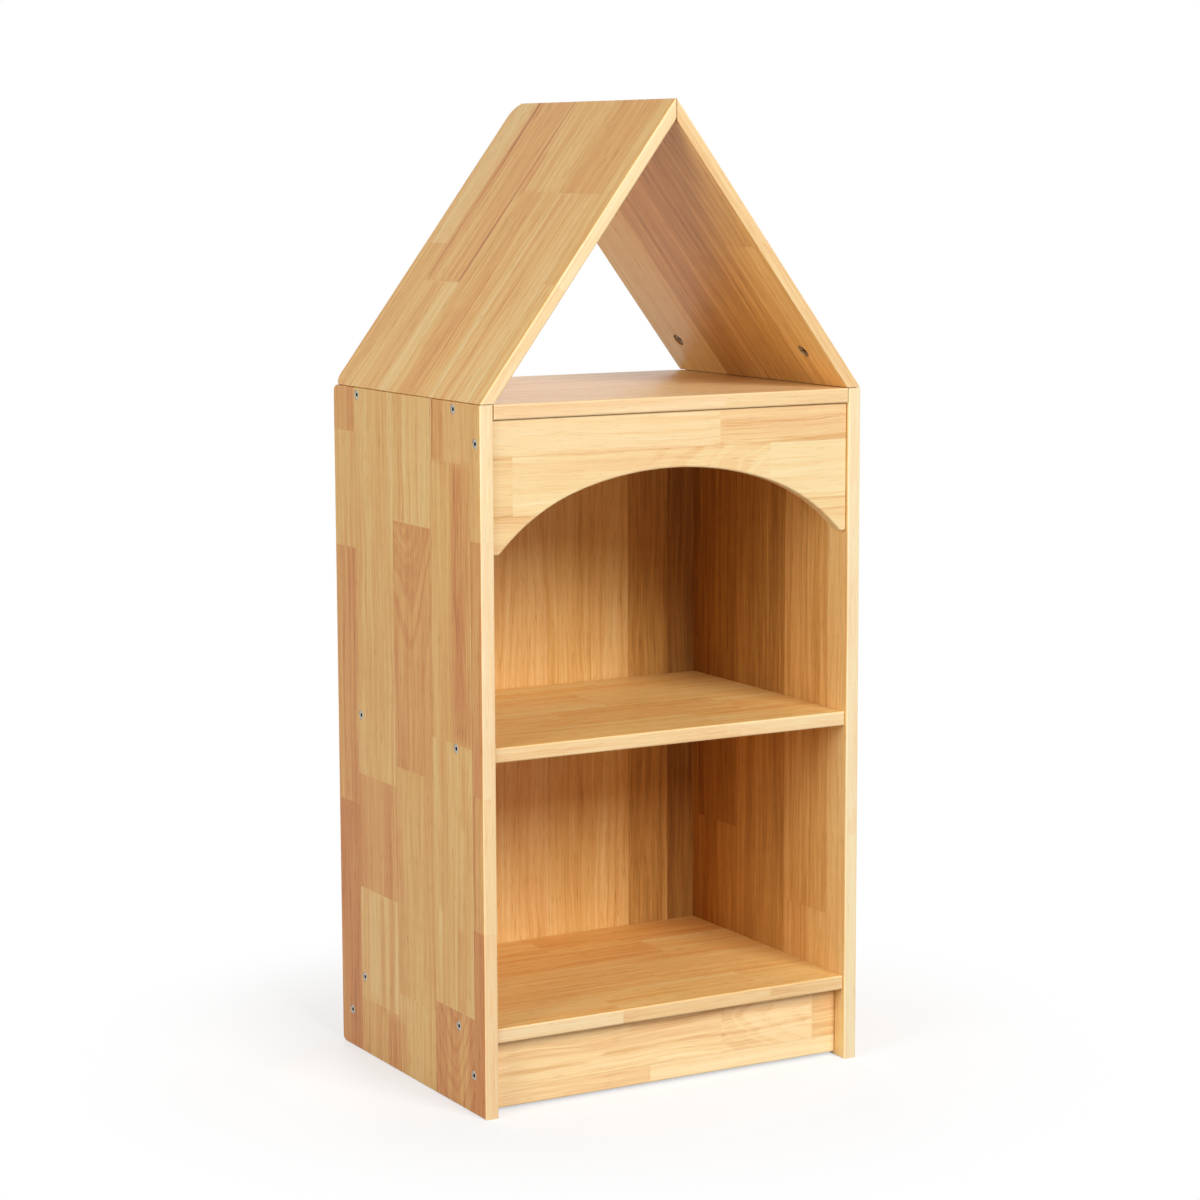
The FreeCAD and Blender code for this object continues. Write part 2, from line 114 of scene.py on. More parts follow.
# Layers of grain, as noise drawn out along the board: features per metre across and along, detail, roughness,
# and an offset that keeps the layers apart
Grain = namedtuple("Grain", "across along detail roughness offset")
WANDER_GRAIN = Grain(22.0, 6.0, 2.0, 0.5, 61.0)
BROAD_GRAIN = Grain(34.0, 2.5, 2.0, 0.5, 3.0)
MEDIUM_GRAIN = Grain(170.0, 3.5, 4.0, 0.65, 11.0)
FINE_GRAIN = Grain(640.0, 13.0, 3.0, 0.65, 23.0)
LINE_GRAIN = Grain(300.0, 4.5, 2.0, 0.6, 31.0)
PORE_GRAIN = Grain(950.0, 45.0, 1.0, 0.5, 41.0)
NOISE_MIDDLE = 0.5

# How far the grain wanders in metres, how far apart two lengths may lie in the noise, and which of its values
# make lines and pores
GRAIN_BEND = 0.014
SHIFT_ALONG = 37.0
SHIFT_ACROSS = 53.0
LINE_RANGE = (0.10, 0.26)
PORE_RANGE = (0.11, 0.22)

# How far each layer darkens the tone, and how strongly the pores show
BROAD_TONE = 0.8
MEDIUM_TONE = 1.4
FINE_TONE = 1.1
RING_TONE = 0.25
LINE_TONE = 0.30
FACE_PORES = 0.55
FRONT_PORES = 0.25
EDGE_PORES = 0.2
PORE_TINT = (0.66, 0.46, 0.34, 1.0)

# Growth rings about a pith that leans along the board, one way in plain lengths and the other in arched ones
PITH_RADIUS = 0.034
PLAIN_LEAN = 0.25
FIGURE_LEAN = -0.65
RING_WANDER = 0.03
RING_WOBBLE = 0.006
RING_SCALE = 230.0
RING_DETAIL = 1.0
RING_RANGE = (0.42, 0.64)
RING_TONES = (-0.25, 1.0)
ARCH_REACH = (0.10, 0.17)
STRAY_RANGE = (0.12, 0.35)
STRAY_RINGS = 0.3

# A rosier cast in places
BLUSH_CHANCE = 0.5
BLUSH_MEDIUM = 0.6
BLUSH_RANGE = (0.05, 0.55)
BLUSH_SHARE = 0.6
BLUSH_TINT = (1.0, 0.95, 1.0, 1.0)

# Satin lacquer
LACQUER_ROUGHNESS = 0.34
MEDIUM_ROUGHNESS = 0.12
PORE_ROUGHNESS = 0.12
LACQUER_SHINE = 0.30
SHELF_SHINE = 0.08
TOP_SHINE = 0.6
FINE_RELIEF = 0.4
RELIEF_STRENGTH = 0.10
RELIEF_DEPTH = 0.0004

# One stave of a glued board: its width, where its lengths meet end to end, the tone of each length, how
# strongly each shows arched growth rings, and how far from the stave's middle the arches have their tips.
# Widths and places are in millimetres.
Stave = namedtuple("Stave", "width joints tones figure tip", defaults=((), 0))

# A stave has room for four lengths, and a joint past the board's end stands for none
LENGTHS_PER_STAVE = 4
NO_JOINT = 2.0

# Rough sawn ends: marks per metre, their detail, and their depth in metres
SAW_SCALE = 500.0
SAW_DETAIL = 2.0
JOINT_ROUGHNESS = 0.004

# Ramps hold the values of the staves. Each stop lies a hair before its step.
RAMP_STEPS = 255
STOP_LEAD = 0.01

# The front and rear edges of a board: the tone of each length, and where the lengths meet in millimetres
Edge = namedtuple("Edge", "tones joints", defaults=((),))

# Glue lines between the staves, and in the mitre a line that is glue and painted shade in the crack between the
# roof boards: their widths in metres, and how far they darken the wood
GLUE_WIDTH = 0.0006
GLUE_SHADE = 0.22
MITRE_LINE = (0.0003, 0.0012)
MITRE_SHADE = 0.8
GLUE_AND_SHADE_TINT = (0.45, 0.30, 0.20, 1.0)

# A darker or paler streak along the grain: its place and width across the board, where it starts and ends,
# and how far it changes the tone. Places and widths are in millimetres.
Streak = namedtuple("Streak", "place width low high tone")

# What all streaks share: how much of the width is full, how softly they end, how far they wander and how
# frayed their ends are in metres, and how strongly they show by themselves, by their lines and by fine grain
STREAK_CORE = 0.7
STREAK_FADE = 0.006
STREAK_WANDER = 0.010
STREAK_FRAY = 0.012
STREAK_PLAIN = 0.85
STREAK_LINES = 0.5
STREAK_FINE = 2.4

# Staves drawn at random: widths in millimetres, numbers of joints, their places along the board, and tones
RANDOM_WIDTHS = (55, 90)
NARROWEST_STAVE = 25
RANDOM_JOINTS = (0, 1, 1)
RANDOM_PLACES = (0.1, 0.9)
RANDOM_TONES = (0.12, 0.62)

# Staves and streaks of each board
LEFT_SIDE_STAVES = (
    Stave(21, (188, 323, 575), (0.88, 0.42, 0.62, 0.25)),
    Stave(87, (97, 369, 648), (0.66, 0.12, 0.28, 0.16), (1.0, 0.0, 0.0, 0.0), 5),
    Stave(87, (85, 324, 578), (0.16, 0.32, 0.54, 0.0), (0.0, 0.0, 0.85, 0.0), 13),
    Stave(89, (60, 180, 302), (0.30, 0.12, 0.52, 0.22), (0.0, 0.0, 0.0, 0.3)),
    Stave(51, (268, 540, 662), (0.84, 0.56, 0.24, 0.46)),
)
LEFT_SIDE_STREAKS = (
    Streak(43, 46, 369, 648, 0.36),
    Streak(46, 28, 374, 642, 0.24),
    Streak(93, 29, 648, 730, 0.42),
    Streak(104, 5, 648, 730, 0.45),
    Streak(181, 28, 578, 730, 0.36),
    Streak(291, 5, 268, 540, 0.30),
    Streak(302, 4, 268, 540, 0.26),
    Streak(316, 6, 268, 540, 0.22),
    Streak(127, 5, 330, 440, 0.24),
    Streak(140, 3, 330, 440, 0.20),
    Streak(198, 5, -20, 730, -0.25),
    Streak(18, 3, 188, 323, 0.5),
    Streak(42, 10, 285, 369, 0.20),
    Streak(49, 22, 97, 182, 0.30),
    Streak(94, 14, 195, 275, 0.20),
    Streak(211, 12, 60, 302, 0.30),
    Streak(232, 14, 55, 178, 0.32),
    Streak(254, 22, 70, 180, -0.22),
    Streak(202, 52, -30, 55, 0.34),
)
# The right side panel's staves darken towards the rear: painted shade on its inner face only
RIGHT_SIDE_STAVES = (
    Stave(36, (240,), (0.0, -0.15)),
    Stave(82, (150,), (0.25, 0.45), (0.0, 0.7)),
    Stave(97, (330,), (0.7, 0.9)),
    Stave(80, (210,), (0.8, 1.05)),
    Stave(40, (410,), (0.9, 1.2)),
)
LEFT_ROOF_STAVES = (
    Stave(25, (140,), (0.02, 0.28)),
    Stave(87, (248,), (0.0, 0.42)),
    Stave(90, (250,), (0.16, 0.18)),
    Stave(80, (135,), (0.02, 0.24)),
    Stave(53, (182,), (0.24, -0.20)),
)
LEFT_ROOF_STREAKS = (
    Streak(203, 6, 135, 400, 0.72),
    Streak(276, 6, 138, 400, 0.68),
    Streak(269, 3, 138, 400, 0.30),
    Streak(194, 12, 245, 300, 0.30),
    Streak(163, 48, -30, 250, 0.16),
    Streak(166, 40, -30, 105, 0.16),
    Streak(92, 36, -30, 248, 0.16),
    Streak(126, 28, 250, 400, -0.20),
    Streak(246, 30, -30, 135, 0.24),
)
# Painted light and shade on the right roof board's inner face: darker staves in front, the palest at the rear
RIGHT_ROOF_STAVES = (
    Stave(62, (190,), (0.42, 0.48)),
    Stave(86, (), (0.62,)),
    Stave(85, (), (0.54,)),
    Stave(102, (), (-0.4,)),
)
TOP_STAVES = (
    Stave(62, (262,), (0.4, 0.5)),
    Stave(78, (120,), (0.55, 0.35)),
    Stave(70, (300,), (0.45, 0.5)),
    Stave(66, (), (0.5,)),
    Stave(59, (210,), (0.4, 0.5)),
)
MIDDLE_STAVES = (
    Stave(70, (266,), (0.05, -0.3)),
    Stave(76, (140, 330), (-0.2, 0.1, -0.1)),
    Stave(82, (215,), (0.0, -0.15)),
    Stave(76, (), (0.05,)),
)
BOTTOM_STAVES = (
    Stave(74, (144, 320), (-0.15, 0.0, -0.2)),
    Stave(82, (240,), (0.05, -0.1)),
    Stave(80, (90, 300), (0.0, 0.2, 0.1)),
    Stave(93, (190,), (0.15, 0.25)),
)
APRON_STAVES = (
    Stave(36, (165,), (0.55, 0.40)),
    Stave(59, (22, 318), (0.60, 0.32, 0.15), (0.0, 0.9, 0.0)),
    Stave(37, (258,), (0.18, 0.62)),
)
APRON_STREAKS = (
    Streak(96, 6, -20, 262, 0.40),
    Streak(98, 8, 250, 430, 0.25),
    Streak(115, 9, 265, 430, 0.16),
    Streak(60, 5, 20, 160, 0.25),
    Streak(36, 12, -20, 45, 0.30),
    Streak(38, 6, 340, 430, 0.35),
    Streak(22, 8, 350, 430, 0.30),
)
PLINTH_STAVES = (
    Stave(19, (184,), (0.42, 0.16)),
    Stave(52, (269, 381), (0.40, 0.45, 0.75), (0.0, 0.8, 0.0)),
)
PLINTH_STREAKS = (
    Streak(39, 5, 130, 272, 0.40),
    Streak(62, 8, 160, 272, 0.32),
    Streak(33, 5, -20, 110, 0.24),
    Streak(52, 5, 20, 150, 0.20),
    Streak(22, 3, -20, 190, 0.25),
)
# Painted light and shade on the back panel's inner face: paler staves in the middle, darker ones at the ends
BACK_STAVES = tuple(Stave(width, (), (tone,)) for width, tone in (
    (52, 0.6), (61, 0.34), (48, 0.32), (66, 0.10), (55, 0.24), (47, 0.20), (50, 0.72), (38, 1.15)))
DOWEL_STAVES = (Stave(1, (), (0.1,)),)
SPLINE_STAVES = (Stave(1, (), (0.2,)),)

# Metal with a cloudy surface: its dark and bright colours, the colour of the painted shade down in its hollows,
# cloud features per metre and their detail, how metallic it is, its range of roughness, and the strength and
# depth of its relief
Metal = namedtuple("Metal", "name dark bright hollow clouds detail metallic roughness relief depth")
ZINC = Metal("zinc", (0.32, 0.30, 0.26, 1.0), (0.58, 0.55, 0.49, 1.0), (0.05, 0.045, 0.04, 1.0),
             900.0, 3.0, 1.0, (0.24, 0.42), 0.1, 0.0002)
# The casting's dark brown colours paint in part the shade of the holes that the cams sit in
CASTING = Metal("casting", (0.24, 0.16, 0.10, 1.0), (0.46, 0.35, 0.23, 1.0), (0.045, 0.030, 0.020, 1.0),
                700.0, 4.0, 0.8, (0.4, 0.6), 0.15, 0.0003)
CLOUD_ROUGHNESS = 0.6
CLOUD_RANGE = (0.2, 0.8)

# How deep in metres the screws' sockets and the cams' slots turn dark with painted shade
SOCKET_SHADE_DEPTH = (0.0001, 0.0008)
SLOT_SHADE_DEPTH = (0.0002, 0.0010)


class Nodes:
    """A node tree, with short ways to add and join its nodes."""

    def __init__(self, tree):
        self.tree = tree

    def put(self, socket, value):
        """Join a socket to another, or set it to a constant."""
        if isinstance(value, bpy.types.NodeSocket):
            self.tree.links.new(value, socket)
        else:
            socket.default_value = value

    def node(self, kind, inputs=(), **settings):
        made = self.tree.nodes.new(kind)
        for key, value in settings.items():
            setattr(made, key, value)
        for socket, value in dict(inputs).items():
            self.put(made.inputs[socket], value)
        return made

    def math(self, operation, a, b=0.0, c=0.0, clamp=False):
        made = self.node("ShaderNodeMath", {0: a, 1: b, 2: c}, operation=operation, use_clamp=clamp)
        return made.outputs[0]

    def add(self, *values):
        total = values[0]
        for value in values[1:]:
            total = self.math("ADD", total, value)
        return total

    def minus(self, a, b):
        return self.math("SUBTRACT", a, b)

    def times(self, a, b, plus=0.0):
        return self.math("MULTIPLY_ADD", a, b, plus)

    def magnitude(self, value):
        return self.math("ABSOLUTE", value)

    def dot(self, vector, direction):
        made = self.node("ShaderNodeVectorMath", {0: vector, 1: direction}, operation="DOT_PRODUCT")
        return made.outputs["Value"]

    def join(self, x, y, z):
        return self.node("ShaderNodeCombineXYZ", {0: x, 1: y, 2: z}).outputs[0]

    def channels(self, colour):
        return list(self.node("ShaderNodeSeparateColor", {0: colour}).outputs)

    def blend(self, share, low, high):
        """A mix of two numbers, which a Mix node takes at its inputs 2 and 3."""
        made = self.node("ShaderNodeMix", {0: share, 2: low, 3: high}, data_type="FLOAT")
        return made.outputs[0]

    def tint(self, share, low, high, blend_type="MIX"):
        """A mix of two colours, which a Mix node takes at its inputs 6 and 7 and gives at its output 2."""
        made = self.node("ShaderNodeMix", {0: share, 6: low, 7: high}, data_type="RGBA",
                         blend_type=blend_type)
        return made.outputs[2]

    def layer(self, share, low, high):
        """A mix of two shaders."""
        return self.node("ShaderNodeMixShader", {0: share, 1: low, 2: high}).outputs[0]

    def fit(self, value, low, high, to_low=0.0, to_high=1.0):
        """Stretch a range of values to another, softly at both ends."""
        made = self.node("ShaderNodeMapRange", {0: value, 1: low, 2: high, 3: to_low, 4: to_high},
                         interpolation_type="SMOOTHSTEP")
        return made.outputs[0]

    def noise(self, vector, detail, roughness=0.5, scale=1.0):
        made = self.node("ShaderNodeTexNoise", {"Vector": vector, "Scale": scale, "Detail": detail,
                                                "Roughness": roughness})
        return made.outputs["Fac"]

    def swing(self, vector, detail, roughness=0.5):
        """Noise about zero."""
        return self.minus(self.noise(vector, detail, roughness), NOISE_MIDDLE)

    def ramp(self, share, stops, interpolation):
        """A colour ramp's colour and alpha."""
        made = self.node("ShaderNodeValToRGB", {0: share})
        ramp = made.color_ramp
        ramp.interpolation = interpolation
        while len(ramp.elements) > 1:
            ramp.elements.remove(ramp.elements[-1])
        for index, (position, colour) in enumerate(stops):
            element = ramp.elements[0] if index == 0 else ramp.elements.new(position)
            element.position = position
            element.color = colour
        return made.outputs["Color"], made.outputs["Alpha"]

    def steps(self, share, stops):
        """Four values that change abruptly at each stop."""
        colour, alpha = self.ramp(share, stops, "CONSTANT")
        return self.channels(colour) + [alpha]

    def palette(self, tone, colours):
        """The colour of a tone."""
        span = DARKEST - PALEST
        share = self.math("MULTIPLY_ADD", tone, 1 / span, -PALEST / span, clamp=True)
        stops = [((place - PALEST) / span, (*rgb, 1.0)) for place, rgb in colours]
        return self.ramp(share, stops, "LINEAR")[0]

    def seen(self):
        """1 for what the camera sees, also in gloss and through glass, and 0 for light on the shelf."""
        rays = self.node("ShaderNodeLightPath").outputs
        seen = rays["Is Camera Ray"]
        for name in ("Is Glossy Ray", "Is Transmission Ray"):
            seen = self.math("MAXIMUM", seen, rays[name])
        return seen


class Material(Nodes):
    """A material's nodes, with its surface shader and the place of each point at hand."""

    def __init__(self, name):
        self.material = bpy.data.materials.new(name)
        self.material.use_nodes = True
        super().__init__(self.material.node_tree)
        self.surface = self.tree.nodes["Principled BSDF"]
        self.place = self.node("ShaderNodeTexCoord").outputs["Object"]

    def set(self, name, value):
        """Set or join an input of the surface shader."""
        self.put(self.surface.inputs[name], value)

    def emboss(self, height, strength, depth):
        bump = self.node("ShaderNodeBump", {"Height": height, "Strength": strength, "Distance": depth})
        self.set("Normal", bump.outputs[0])

    def sideways(self):
        """The distance from the shelf's middle plane."""
        return self.magnitude(self.dot(self.place, X_AXIS))

    def give(self, node):
        """Give the material to a node of the frame."""
        slots = frame["nodes"][node].data.materials
        slots.clear()
        slots.append(self.material)


# A board of the frame: its node, and the directions along its grain, across it and through its thickness
Board = namedtuple("Board", "node along across through")


def extent(board, axis):
    """A board's reach along a direction: where it starts and how far it goes."""
    places = [vertex.co.dot(axis) for vertex in frame["nodes"][board.node].data.vertices]
    return min(places), max(places) - min(places)


def random_staves(board, seed):
    """Staves for a board, drawn by a seeded generator."""
    draw = random.Random(seed)
    staves = []
    left = extent(board, board.across)[1] / MILLIMETRE
    length = extent(board, board.along)[1] / MILLIMETRE
    while left > 0:
        width = min(left, draw.uniform(*RANDOM_WIDTHS))
        if left - width < NARROWEST_STAVE:
            width = left
        count = draw.choice(RANDOM_JOINTS)
        joints = sorted(draw.uniform(*RANDOM_PLACES) * length for _ in range(count))
        tones = [draw.uniform(*RANDOM_TONES) for _ in range(count + 1)]
        staves.append(Stave(width, tuple(joints), tuple(tones)))
        left -= width
    return staves


def filled(values, filler):
    """One value for each length that a stave may have."""
    return list(values) + [filler] * (LENGTHS_PER_STAVE - len(values))


def stave_stops(staves, length):
    """Four lists of ramp stops with one stop per stave: the upper ends of its lengths, their tones, their
    figures, and the stave's own middle, half width, number and arch tip. Places are shares of the board, and
    the tip is in metres."""
    lists = [], [], [], []
    total = sum(stave.width for stave in staves)
    start = 0.0
    for number, stave in enumerate(staves):
        low = round(start / total * RAMP_STEPS) / RAMP_STEPS
        start += stave.width
        high = round(start / total * RAMP_STEPS) / RAMP_STEPS
        position = max(0.0, low - STOP_LEAD / RAMP_STEPS)
        values = (
            filled([joint * MILLIMETRE / length for joint in stave.joints], NO_JOINT),
            filled(stave.tones, stave.tones[-1]),
            filled(stave.figure, 0.0),
            [(low + high) / 2, (high - low) / 2, number / len(staves), stave.tip * MILLIMETRE],
        )
        for stops, value in zip(lists, values):
            stops.append((position, value))
    return lists


class Wood(Material):
    """A board's material: the place of each point in the glued staves, and the grain there. Each length of a
    stave has a tone, a figure and a grain of its own."""

    def __init__(self, board, staves, seed):
        super().__init__(board.node + "_wood")
        across_start, self.width = extent(board, board.across)
        along_start, self.length = extent(board, board.along)
        depth_start, self.thickness = extent(board, board.through)
        self.place_across = self.dot(self.place, board.across)
        self.place_along = self.dot(self.place, board.along)
        self.across = self.minus(self.place_across, across_start)
        self.along = self.minus(self.place_along, along_start)
        self.depth = self.minus(self.dot(self.place, board.through), depth_start)
        self.run = self.math("DIVIDE", self.along, self.length)
        self.find_length(staves, seed)
        self.grow()

    def find_length(self, staves, seed):
        """In which stave a point lies, and in which of its lengths."""
        share = self.math("DIVIDE", self.across, self.width)
        lists = stave_stops(staves, self.length)
        ends, tones, figures, places = [self.steps(share, stops) for stops in lists]
        middle, half, self.number, self.tip = places
        self.off_middle = self.times(self.minus(share, middle), self.width)
        self.from_glue = self.minus(self.times(half, self.width), self.magnitude(self.off_middle))

        saw_marks = self.swing(self.join(self.times(self.place_across, SAW_SCALE), 0.0, seed), SAW_DETAIL)
        cut = self.times(saw_marks, JOINT_ROUGHNESS / self.length, plus=self.run)
        self.tone, self.figure, upper_end, self.count = tones[0], figures[0], ends[0], 0.0
        for end, tone, figure, next_end in zip(ends, tones[1:], figures[1:], ends[1:]):
            past = self.math("GREATER_THAN", cut, end)
            self.tone = self.blend(past, self.tone, tone)
            self.figure = self.blend(past, self.figure, figure)
            upper_end = self.blend(past, upper_end, next_end)
            self.count = self.add(self.count, past)
        left = self.minus(self.math("MINIMUM", upper_end, 1.0), self.run)
        self.below_end = self.times(left, self.length)

        drawn = self.node("ShaderNodeTexWhiteNoise", {"Vector": self.join(self.number, self.count, seed)},
                          noise_dimensions="3D")
        self.chances = self.channels(drawn.outputs["Color"])
        self.shift_along = self.times(self.chances[0], SHIFT_ALONG)
        self.shift_across = self.times(self.chances[1], SHIFT_ACROSS)

    def grain(self, across, layer):
        """One layer of grain about zero, with another part of the noise for each length."""
        x = self.times(across, layer.across, plus=self.shift_across)
        y = self.add(self.times(self.place_along, layer.along, plus=layer.offset), self.shift_along)
        z = self.times(self.depth, layer.across)
        return self.swing(self.join(x, y, z), layer.detail, layer.roughness)

    def grow(self):
        """All layers of grain, whose lines wander a little."""
        self.wander = self.grain(self.off_middle, WANDER_GRAIN)
        bent = self.times(self.wander, GRAIN_BEND, plus=self.off_middle)
        self.broad = self.grain(bent, BROAD_GRAIN)
        self.medium = self.grain(bent, MEDIUM_GRAIN)
        self.fine = self.grain(bent, FINE_GRAIN)
        self.line = self.fit(self.grain(bent, LINE_GRAIN), *LINE_RANGE)
        self.pore = self.fit(self.grain(bent, PORE_GRAIN), *PORE_RANGE)

    def rings(self):
        """Growth rings about a leaning pith, so that a length shows arches below its upper end."""
        off_tip = self.math("POWER", self.minus(self.off_middle, self.tip), 2.0)
        radius = self.math("SQRT", self.add(off_tip, PITH_RADIUS ** 2))
        lean = self.times(self.figure, FIGURE_LEAN, plus=PLAIN_LEAN)
        uneven = self.times(self.wander, RING_WANDER, plus=self.times(self.medium, RING_WOBBLE))
        grown = self.add(radius, self.times(lean, self.place_along), uneven)
        place = self.join(self.times(grown, RING_SCALE), self.number, self.count)
        ring = self.fit(self.noise(place, RING_DETAIL), *RING_RANGE, *RING_TONES)
        arch = self.times(self.figure, self.fit(self.below_end, *ARCH_REACH, 1.0, 0.0))
        stray = self.fit(self.wander, *STRAY_RANGE, 0.0, STRAY_RINGS)
        return self.times(ring, self.math("MAXIMUM", arch, stray))

    def blush(self):
        """How rosy the wood is."""
        medium = self.times(self.medium, BLUSH_MEDIUM)
        return self.fit(self.add(self.broad, self.times(self.chances[2], BLUSH_CHANCE), medium), *BLUSH_RANGE)

    def streaked(self, change, streaks):
        """A change of tone with streaks added to it, whose grain is crisp and whose ends are frayed."""
        lined = self.times(self.line, STREAK_LINES, plus=STREAK_PLAIN)
        crisp = self.times(self.fine, STREAK_FINE, plus=lined)
        across = self.times(self.wander, STREAK_WANDER, plus=self.across)
        along = self.times(self.fine, STREAK_FRAY, plus=self.along)
        for streak in streaks:
            reach = streak.width * MILLIMETRE / 2
            middle = (streak.low + streak.high) / 2 * MILLIMETRE
            end = (streak.high - streak.low) / 2 * MILLIMETRE
            off_line = self.magnitude(self.minus(across, streak.place * MILLIMETRE))
            off_middle = self.magnitude(self.minus(along, middle))
            inside = self.times(self.fit(off_line, reach * STREAK_CORE, reach, streak.tone, 0.0),
                                self.fit(off_middle, end - STREAK_FADE, end + STREAK_FADE, 1.0, 0.0))
            change = self.times(inside, crisp, plus=change)
        return change

    def edge_tone(self, edge):
        """The tone of the front and rear edges."""
        tone = edge.tones[0]
        for joint, next_tone in zip(edge.joints, edge.tones[1:]):
            past = self.math("GREATER_THAN", self.run, joint * MILLIMETRE / self.length)
            tone = self.blend(past, tone, next_tone)
        return tone


def wood(board, staves, seed, face=FACE_WOOD, edge=None, streaks=(), pores=FACE_PORES, lines=LINE_TONE,
         shine=LACQUER_SHINE, outer=None, mitred=False):
    """Edge-glued staves under satin lacquer. edge tells the tones of the front and rear edges, where they
    differ from the faces. outer is the palest and the darkest tone of the face further through the board, where
    it differs from the nearer one, and that face has FACE_WOOD's colours; the nearer face keeps the staves'
    tones, which paint its light and shade. A mitred board meets its neighbour in the middle plane, where a dark
    line is both glue and painted shade in the crack."""
    paint = Wood(board, staves, seed)
    change = paint.add(
        paint.times(paint.broad, BROAD_TONE),
        paint.times(paint.medium, MEDIUM_TONE),
        paint.times(paint.fine, FINE_TONE),
        paint.times(paint.line, lines),
        paint.times(paint.rings(), RING_TONE),
    )

    # Colour of the faces
    tone = paint.tone
    if outer:
        palest, darkest = outer
        on_outer = paint.fit(paint.depth, *[paint.thickness * share for share in OUTER_DEPTH])
        tone = paint.blend(on_outer, tone, paint.times(paint.chances[0], darkest - palest, plus=palest))
    tone = paint.add(tone, paint.streaked(change, streaks))
    colour = paint.palette(tone, face)
    if outer:
        colour = paint.tint(on_outer, colour, paint.palette(tone, FACE_WOOD))

    # Colour of the front and rear edges
    if edge:
        normal = paint.node("ShaderNodeTexCoord").outputs["Normal"]
        on_edge = paint.fit(paint.magnitude(paint.dot(normal, Y_AXIS)), *EDGE_FACING)
        edge_colour = paint.palette(paint.add(paint.edge_tone(edge), change), EDGE_WOOD)
        colour = paint.tint(on_edge, colour, edge_colour)
        pores = paint.blend(on_edge, pores, EDGE_PORES)

    # Rosy places, pores and glue lines, and in the mitre a line that is glue and painted shade in the crack
    colour = paint.tint(paint.times(paint.blush(), BLUSH_SHARE), colour, BLUSH_TINT, "MULTIPLY")
    colour = paint.tint(paint.times(paint.pore, pores), colour, PORE_TINT, "MULTIPLY")
    glue = paint.fit(paint.from_glue, 0.0, GLUE_WIDTH, GLUE_SHADE, 0.0)
    if mitred:
        glue = paint.math("MAXIMUM", glue, paint.fit(paint.sideways(), *MITRE_LINE, MITRE_SHADE, 0.0))
    paint.set("Base Color", paint.tint(glue, colour, GLUE_AND_SHADE_TINT, "MULTIPLY"))

    # Satin lacquer, a little duller in the pores
    roughness = paint.times(paint.medium, MEDIUM_ROUGHNESS, plus=LACQUER_ROUGHNESS)
    paint.set("Roughness", paint.times(paint.pore, PORE_ROUGHNESS, plus=roughness))
    paint.set("Specular IOR Level", shine)
    paint.emboss(paint.minus(paint.times(paint.fine, FINE_RELIEF), paint.pore), RELIEF_STRENGTH, RELIEF_DEPTH)
    paint.give(board.node)


def metal(node, kind):
    """Metal with a cloudy surface, given to a node: the material without its colour, and that colour."""
    paint = Material(node + "_" + kind.name)
    cloud = paint.noise(paint.place, kind.detail, CLOUD_ROUGHNESS, kind.clouds)
    paint.set("Metallic", kind.metallic)
    paint.set("Roughness", paint.fit(cloud, *CLOUD_RANGE, *kind.roughness))
    paint.emboss(cloud, kind.relief, kind.depth)
    paint.give(node)
    return paint, paint.tint(cloud, kind.dark, kind.bright)


def zinc(node):
    """Bright zinc plating, with painted shade down in the screws' sockets."""
    paint, colour = metal(node, ZINC)
    if node.endswith("_screws"):
        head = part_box(node)[1].x
        inward = paint.minus(head, paint.sideways())
        # Painted shade down in the socket
        colour = paint.tint(paint.fit(inward, *SOCKET_SHADE_DEPTH), colour, ZINC.hollow)
    paint.set("Base Color", colour)


def dark_casting(node, normal):
    """Dull die-cast metal, with painted shade down in the cams' slots. normal points into the right roof board.
    """
    paint, colour = metal(node, CASTING)
    corners = frame["nodes"][node].data.vertices
    face = min(abs(corner.co.x) * normal.x + corner.co.z * normal.z for corner in corners)
    inward = paint.times(paint.sideways(), normal.x, plus=paint.dot(paint.place, Z_AXIS * normal.z))
    # Painted shade down in the slot
    slot_shade = paint.fit(inward, *[face + depth for depth in SLOT_SHADE_DEPTH])
    paint.set("Base Color", paint.tint(slot_shade, colour, CASTING.hollow))


def world():
    """White where it is seen, and a weak even light on the shelf."""
    made = bpy.data.worlds.new("studio")
    bpy.context.scene.world = made
    made.use_nodes = True
    sky = Nodes(made.node_tree)
    background = sky.tree.nodes["Background"]
    sky.put(background.inputs["Color"], WHITE)
    sky.put(background.inputs["Strength"], sky.blend(sky.seen(), WORLD_LIGHT, 1.0))


def floor():
    """A pale floor that keeps the shadow near the shelf and fades to white further out. It is clear from
    below."""
    bpy.ops.mesh.primitive_circle_add(vertices=FLOOR_SIDES, radius=FLOOR_RADIUS, fill_type="NGON")
    ground = bpy.context.object
    ground.name = "studio_floor"
    paint = Material("studio_floor")
    seen = paint.seen()
    paint.set("Base Color", paint.tint(seen, FLOOR_BOUNCE, FLOOR_SEEN))
    paint.set("Roughness", FLOOR_ROUGHNESS)
    paint.set("Specular IOR Level", 0.0)
    distance = paint.node("ShaderNodeVectorMath", {0: paint.place}, operation="LENGTH").outputs["Value"]
    whiteness = paint.times(seen, paint.fit(distance, *FLOOR_FADE, FLOOR_WHITE, 1.0))
    glow = paint.node("ShaderNodeEmission", {"Color": WHITE, "Strength": 1.0}).outputs[0]
    from_above = paint.layer(whiteness, paint.surface.outputs[0], glow)
    underside = paint.node("ShaderNodeNewGeometry").outputs["Backfacing"]
    clear = paint.node("ShaderNodeBsdfTransparent").outputs[0]
    output = paint.tree.nodes["Material Output"]
    paint.put(output.inputs["Surface"], paint.layer(underside, from_above, clear))
    ground.data.materials.append(paint.material)


